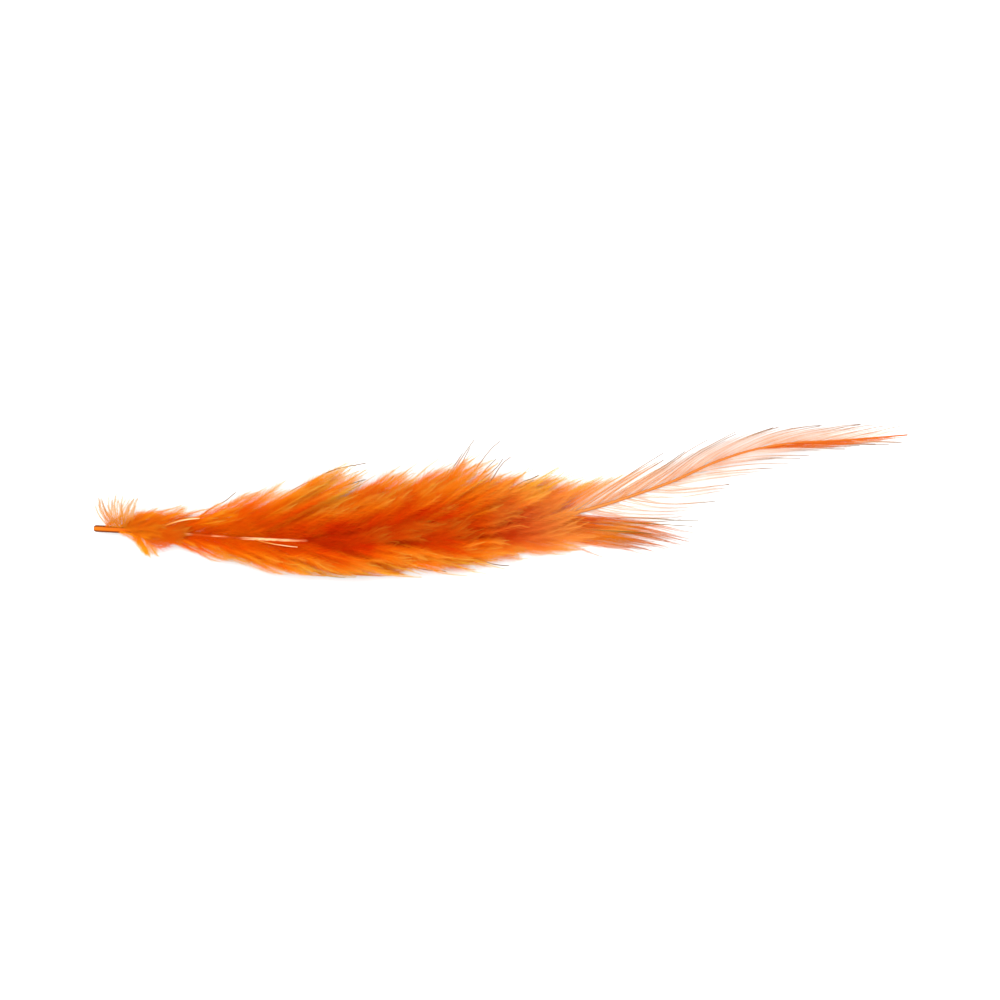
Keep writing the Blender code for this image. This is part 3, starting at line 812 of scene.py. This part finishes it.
    def make(self, name, material):
        points = np.concatenate(self.points)
        faces = np.concatenate(self.faces)
        mesh = bpy.data.meshes.new(name)
        mesh.from_pydata(points.tolist(), [], faces.tolist(), shade_flat=False)
        share, row, lane, cell, fine = np.concatenate(self.maps)[faces.ravel()].T
        lines = math.ceil(self.rows / self.COLUMNS)
        bake_u = (row % self.COLUMNS + cell) / self.COLUMNS
        bake_v = (np.floor(row / self.COLUMNS) + lane) / lines
        own_shade = np.random.default_rng(len(faces)).uniform(0.0, LARGEST_SHADE, self.rows)
        strand = np.stack([share, own_shade[row.astype(int)] + fine], -1)
        for layer, values in (("OFBake", np.stack([bake_u, bake_v], -1)), ("Strand", strand)):
            uv = mesh.uv_layers.new(name=layer)
            uv.data.foreach_set("uv", values.astype(np.float32).ravel())
        mesh.validate()
        finish_piece(name, mesh, material)


def finish_piece(name, mesh, material):
    mesh.materials.append(material)
    piece = bpy.data.objects.new(name, mesh)
    bpy.context.scene.collection.objects.link(piece)
    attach(piece, "root")
    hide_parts(NODE)


def barb_radii(soft):
    root = between(*BARB_RADII, soft)
    tip = between(*BARB_TIP_RADII, soft)
    share = np.linspace(0.0, 1.0, BARB_ROWS + 1)[None, :]
    return root + (tip - root) * share**BARB_TAPER_POWER


def make_locks(name, locks, material, seed):
    strands = Strands()
    dice = np.random.default_rng(seed)
    for lock in locks:
        soft = lock.soft
        short = SHORT_LOCK_FLUFF + (1.0 - SHORT_LOCK_FLUFF) * lock.length / FULL_LENGTH
        hair_from = FULL_HAIR_FROM if lock.full else between(VANE_HAIR_FROM, DOWN_HAIR_FROM, soft)
        strands.add_lock(
            lock,
            dice,
            barb_radii(soft),
            per_mm=between(*BARBULES_PER_MM, soft),
            length=between(*BARBULE_SIZES, soft) * min(1.0, short) * lock.fluff,
            radius=between(VANE_BARBULE_RADIUS, DOWN_BARBULE_RADIUS, soft),
            soft=soft,
            hair_from=hair_from,
        )
    strands.make(name, material)


def fringe():
    """Loose barbs of the tufts, in LOCK_COLUMNS."""
    dice = random.Random(SEED + 96)
    for side, first, last, count, reach, lean in FRINGE:
        rows = on_side(side, TUFTS)
        for index in range(count):
            place = first + (last - first) * (index + dice.random()) / count
            length = read_at(place, rows, 2) * dice.uniform(FRINGE_REACH, reach)
            angle = read_at(place, rows, 3) + dice.uniform(FRINGE_LEAN, lean)
            rise = read_at(place, rows, 5) * dice.uniform(*FRINGE_RISES)
            yield place, side, length, angle, FRINGE_BEND, rise


def make_strays(name, strays, material, seed, downy=False, sway=1.0, thick=1.0):
    """Long single barbs, which are nearly bare where they aren't downy."""
    root, tip = FRINGE_RADII if downy else STRAY_RADII
    radii = np.linspace(root, tip, BARB_ROWS + 1)[None, :] * thick
    barbules = FRINGE_BARBULES if downy else STRAY_BARBULES
    strands = Strands()
    dice = np.random.default_rng(seed)
    for lock in swept_locks(strays, span=0.0, thickness=0.0, barbs=1, sway=sway):
        strands.add_lock(lock, dice, radii, **barbules)
    strands.make(name, material)


def make_shaft(material):
    """Quill and shaft, round above, with a shallow groove below, and open at the cut end."""
    sides = SHAFT_SIDES
    cut_places, cut_sizes = zip(*CUT_EDGE)
    stations = np.linspace(PAST_EDGE, SHAFT.length, SHAFT_STATIONS)
    places = np.concatenate([cut_places, stations, [SHAFT.length]])
    scale = 1.0 - SLIMMING * smooth_step((places - SLIM_FROM) / SLIM_CHANGE)
    scale[: len(CUT_EDGE)] = cut_sizes
    scale[-1] = END_SIZE
    angles = 2.0 * math.pi * np.arange(sides) / sides
    lowest = np.exp(-(((np.sin(angles) + 1.0) / GROOVE_WIDTH) ** 2))
    points = []
    for place, size in zip(places, scale):
        point, _, across = SHAFT.frame(np.array(place))
        radius = float(SHAFT.radius(place)) * size
        groove = 1.0 - GROOVE_DEPTH * lowest * min(1.0, place / GROOVE_FROM)
        plan = point[None, :] + across[None, :] * (np.cos(angles) * radius)[:, None]
        height = float(SHAFT.height(place)) + np.sin(angles) * groove * radius * SHAFT_FLATNESS
        points.append(np.concatenate([plan, height[:, None]], axis=1))
    inner = points[0].copy()
    _, along, _ = SHAFT.frame(np.array(0.0))
    inner[:, :2] += along[None, :] * HOLLOW_DEPTH
    points.insert(0, inner)
    points = np.array(points)
    points[..., 2] = np.maximum(points[..., 2], 0.0)
    index = np.arange(len(points) * sides).reshape(-1, sides)
    after = np.roll(index, -1, axis=1)
    faces = np.stack([index[:-1], after[:-1], after[1:], index[1:]], -1).reshape(-1, 4).tolist()
    faces += [index[0][::-1].tolist(), index[-1].tolist()]
    mesh = bpy.data.meshes.new("shaft")
    mesh.from_pydata(points.reshape(-1, 3).tolist(), [], faces)
    along_share = np.concatenate([[0.0], places / SHAFT.length])
    uv = mesh.uv_layers.new(name="Strand")
    for polygon in mesh.polygons:
        corners = list(zip(polygon.loop_indices, polygon.vertices))
        last_strip = any(vertex % sides == sides - 1 for _, vertex in corners)
        for loop, vertex in corners:
            around = vertex % sides
            if last_strip and around == 0:
                around = sides
            uv.data[loop].uv = (along_share[vertex // sides], around / sides)
    mesh.shade_smooth()
    finish_piece("shaft", mesh, material)


def new_material(name):
    material = bpy.data.materials.new(name)
    material.use_nodes = True
    tree = material.node_tree
    tree.nodes.clear()
    return material, tree


def add_node(tree, kind, inputs=None, **settings):
    """A node with these settings. Each of its inputs is a value or an output of another node."""
    node = tree.nodes.new(kind)
    for key, value in settings.items():
        setattr(node, key, value)
    for key, value in (inputs or {}).items():
        if isinstance(value, bpy.types.NodeSocket):
            tree.links.new(value, node.inputs[key])
        elif value is not None:
            node.inputs[key].default_value = value
    return node


def sum_node(tree, operation, first, second, third=None, clamp=False):
    inputs = {0: first, 1: second, 2: third}
    node = add_node(tree, "ShaderNodeMath", inputs, operation=operation, use_clamp=clamp)
    return node.outputs[0]


def mix_node(tree, amount, first, second):
    """A mix of two colours, of which the second may be a plain one."""
    if isinstance(second, tuple):
        second = (*second, 1.0)
    inputs = {"Factor": amount, "A": first, "B": second}
    return add_node(tree, "ShaderNodeMix", inputs, data_type="RGBA").outputs["Result"]


def spread_node(tree, value, low, high):
    """0 where the value is low and 1 where it is high."""
    inputs = {"Value": value, "From Min": low, "From Max": high}
    return add_node(tree, "ShaderNodeMapRange", inputs).outputs["Result"]


def noise_node(tree, scale, detail, stretch=None):
    place = add_node(tree, "ShaderNodeTexCoord").outputs["Object"]
    if stretch:
        mapping = add_node(tree, "ShaderNodeMapping", {"Vector": place, "Scale": stretch})
        place = mapping.outputs["Vector"]
    inputs = {"Vector": place, "Scale": scale, "Detail": detail}
    return add_node(tree, "ShaderNodeTexNoise", inputs).outputs["Fac"]


def ramp_node(tree, value, stops):
    node = add_node(tree, "ShaderNodeValToRGB", {"Fac": value})
    elements = node.color_ramp.elements
    elements[0].color = (*stops[0][1], 1.0)
    elements[1].color = (*stops[-1][1], 1.0)
    for at, colour in stops[1:-1]:
        elements.new(at).color = (*colour, 1.0)
    return node.outputs["Color"]


def greys(stops):
    return [(at, (value,) * 3) for at, value in stops]


def strand_map(tree):
    """The share along a strand, and its shade or the place around it."""
    strand = add_node(tree, "ShaderNodeUVMap", uv_map="Strand")
    split = add_node(tree, "ShaderNodeSeparateXYZ", {0: strand.outputs["UV"]})
    return split.outputs["X"], split.outputs["Y"]


def finish_shader(tree, colour, roughness, specular, through, normal=None):
    """A surface of this colour that lets a share of the light through."""
    inputs = {"Base Color": colour, "Roughness": roughness, "Normal": normal}
    inputs["Specular IOR Level"] = specular
    shader = add_node(tree, "ShaderNodeBsdfPrincipled", inputs).outputs[0]
    glow = add_node(tree, "ShaderNodeBsdfTranslucent", {"Color": colour}).outputs[0]
    both = add_node(tree, "ShaderNodeMixShader", {"Fac": through, 1: shader, 2: glow})
    add_node(tree, "ShaderNodeOutputMaterial", {"Surface": both.outputs[0]})


def barb_material(name, look, paleness=None, deepness=None):
    """Dyed barbs: the colour changes from root to tip, from barb to barb and in patches.

    Paleness and deepness, where there are any, say how it changes along the feather.
    """
    (root, body, outer, tip), (barbule, deep), (roughness, specular, through) = LOOKS[look]
    material, tree = new_material(name)

    def along_feather(stops):
        place = add_node(tree, "ShaderNodeTexCoord").outputs["Object"]
        x = add_node(tree, "ShaderNodeSeparateXYZ", {0: place}).outputs["X"]
        return ramp_node(tree, spread_node(tree, x, QUILL_END[0], -QUILL_END[0]), stops)

    share, shade = strand_map(tree)
    own = sum_node(tree, "FRACT", shade, 0.0)
    fine = sum_node(tree, "GREATER_THAN", shade, BARBULES_ABOVE)
    inner = sum_node(tree, "MULTIPLY_ADD", share, FADE, 1.0)
    colour = ramp_node(tree, share, [(0.0, root), (BODY_AT, body), (OUTER_AT, outer), (1.0, tip)])
    amount = sum_node(tree, "MULTIPLY", fine, BARBULE_COLOUR)
    colour = mix_node(tree, sum_node(tree, "MULTIPLY", amount, inner), colour, barbule)
    if paleness:
        colour = mix_node(tree, along_feather(greys(paleness)), colour, along_feather(PALE_COLOURS))
    noise = noise_node(tree, PATCH_SCALE, PATCH_DETAIL)
    patches = spread_node(tree, noise, PATCH_FROM, PATCH_TO)
    amount = sum_node(tree, "MULTIPLY_ADD", own, OWN_DEPTH, patches)
    amount = sum_node(tree, "MULTIPLY", amount, DEPTH)
    if deepness:
        # on the down and crest, this deepness is painted shade near the shaft
        amount = sum_node(tree, "ADD", amount, along_feather(greys(deepness)))
    amount = sum_node(tree, "MULTIPLY", amount, inner, clamp=True)
    colour = mix_node(tree, amount, colour, deep)
    finish_shader(tree, colour, roughness, specular, through)
    return material


def shaft_material():
    """Smooth keratin with a painted highlight and a red line on top, and painted shade at the
    quill's sides.
    """
    material, tree = new_material("dyed_shaft")
    along, around = strand_map(tree)

    def band(along_stops, around_stops):
        """Where a band lies on the shaft, by these strengths along it and around it."""
        first = ramp_node(tree, along, greys(along_stops))
        second = ramp_node(tree, around, greys(around_stops))
        return sum_node(tree, "MULTIPLY", first, second)

    # the shaft's colours, with painted shade where the down lies over it
    colour = ramp_node(tree, along, SHAFT_COLOURS_AND_SHADE)
    # painted shade: the sides of the quill are darker
    colour = mix_node(tree, band(PAINTED_SHADE_EDGES, PAINTED_SHADE_EDGES_ROUND), colour, PAINTED_SHADE_EDGE_COLOUR)
    colour = mix_node(tree, band(RED_LINE, RED_ROUND), colour, RED_COLOUR)
    grain = noise_node(tree, 1.0, GRAIN_DETAIL, GRAIN_STRETCH)
    broken = spread_node(tree, grain, GRAIN_FROM, GRAIN_TO)
    # painted highlight: a pale line on top of the shaft, broken by the grain into dashes
    ridge = sum_node(tree, "MULTIPLY", band(PAINTED_HIGHLIGHT, PAINTED_HIGHLIGHT_ROUND), broken)
    colour = mix_node(tree, ridge, colour, PAINTED_HIGHLIGHT_COLOUR)
    inputs = {"Strength": GRAIN_STRENGTH, "Distance": GRAIN_DEPTH, "Height": grain}
    normal = add_node(tree, "ShaderNodeBump", inputs).outputs["Normal"]
    finish_shader(tree, colour, SHAFT_ROUGHNESS, SHAFT_SPECULAR, SHAFT_THROUGH, normal)
    return material


def make_feather():
    """Each piece has dice of its own, so that a change to one leaves the others as they are."""
    down = barb_material("dyed_down", "down", PALENESS, PAINTED_SHADE_NEAR_SHAFT)
    # the crest's deeper colours are painted shade near the shaft
    shaded_crest_down = barb_material("painted_shade_down", "crest", PALENESS, PAINTED_SHADE_NEAR_SHAFT)
    vane = barb_material("dyed_vane", "vane", VANE_PALENESS, VANE_DEEPNESS)
    pale_vane = barb_material("pale_vane", "vane")
    strip = barb_material("dyed_tip_strip", "tip_strip")
    make_shaft(shaft_material())
    for side, word in ((1, "plus_y"), (-1, "minus_y")):
        locks = list(vane_locks(side))
        open_look, end_look = (vane, vane) if side > 0 else (pale_vane, strip)
        for name, first, last, look, own_seed in (
            ("lower_down_", 0.0, UPPER_DOWN_START, down, 20),
            ("upper_down_", UPPER_DOWN_START, VANE_START, down, 30),
            ("open_vane_", VANE_START, STRIP_START, open_look, 40),
            ("vane_end_", STRIP_START, SHAFT.length, end_look, 80),
        ):
            part = [lock for lock in locks if first <= lock.place < last]
            make_locks(name + word, part, look, SEED + own_seed + side)
        make_locks("tufts_" + word, tufts(side), down, SEED + 50 + side)
    lower = swept_locks(LOWER_BARBS, barbs=LOWER_TUFT_BARBS, fluff=LOWER_BARB_FLUFF)
    make_locks("lower_barbs", lower, barb_material("dyed_barbs", "lower_barbs"), SEED + 55)
    make_locks("crest", crest(), shaded_crest_down, SEED + 60)
    after = barb_material("tan_afterfeather", "afterfeather")
    make_locks("afterfeather_plus_y", afterfeather(1), after, SEED + 70)
    make_locks("afterfeather_minus_y", afterfeather(-1), down, SEED + 75)
    hair = barb_material("tan_hair", "hair")
    down_strays = [stray for stray in STRAYS if stray[0] < VANE_START]
    make_strays("stray_barbs", down_strays, hair, SEED + 90)
    hair = barb_material("vane_hair", "vane_hair")
    vane_strays = [stray for stray in STRAYS if stray[0] >= VANE_START]
    make_strays("vane_strays", vane_strays, hair, SEED + 92, thick=0.8)
    hair = barb_material("glint_hair", "glint_hair")
    make_strays("glint_strays", GLINT_STRAYS, hair, SEED + 94, sway=0.1, thick=1.5)
    hair = barb_material("fringe_hair", "fringe_hair")
    make_strays("fringe", fringe(), hair, SEED + 98, downy=True, sway=0.5)


def make_floor():
    mesh = bpy.data.meshes.new("floor")
    signs = ((-1, -1), (1, -1), (1, 1), (-1, 1))
    corners = [(x * FLOOR_HALF, y * FLOOR_HALF, FLOOR_LEVEL) for x, y in signs]
    mesh.from_pydata(corners, [], [(0, 1, 2, 3)])
    material, tree = new_material("white_paper")
    inputs = {"Base Color": FLOOR_COLOUR, "Roughness": FLOOR_ROUGHNESS}
    shader = add_node(tree, "ShaderNodeBsdfPrincipled", inputs)
    add_node(tree, "ShaderNodeOutputMaterial", {"Surface": shader.outputs[0]})
    mesh.materials.append(material)
    floor = bpy.data.objects.new("floor", mesh)
    bpy.context.scene.collection.objects.link(floor)


def make_light(name, place, size, power):
    """A square soft light that is turned towards the middle of the feather."""
    lamp = bpy.data.lights.new(name, "AREA")
    lamp.shape = "SQUARE"
    lamp.size = size
    lamp.energy = power
    light = bpy.data.objects.new(name, lamp)
    light.location = place
    x, y, z = place
    light.rotation_euler = (math.atan2(math.hypot(x, y), z), 0.0, math.atan2(-y, -x) - math.pi / 2)
    bpy.context.scene.collection.objects.link(light)


def make_studio():
    scene = bpy.context.scene
    world = bpy.data.worlds.new("soft_studio")
    world.use_nodes = True
    background = world.node_tree.nodes["Background"]
    background.inputs["Color"].default_value = SKY_COLOUR
    background.inputs["Strength"].default_value = SKY_STRENGTH
    scene.world = world
    for light in LIGHTS:
        make_light(*light)
    scene.view_settings.view_transform = "Standard"
    lens = bpy.data.cameras.new("camera")
    lens.sensor_width = SENSOR
    lens.lens = SENSOR * CAMERA_HEIGHT / FRAME_WIDTH
    lens.clip_start = NEAREST
    camera = bpy.data.objects.new("camera", lens)
    camera.location = (0.0, 0.0, CAMERA_HEIGHT)
    scene.collection.objects.link(camera)
    scene.camera = camera


make_feather()
make_floor()
make_studio()
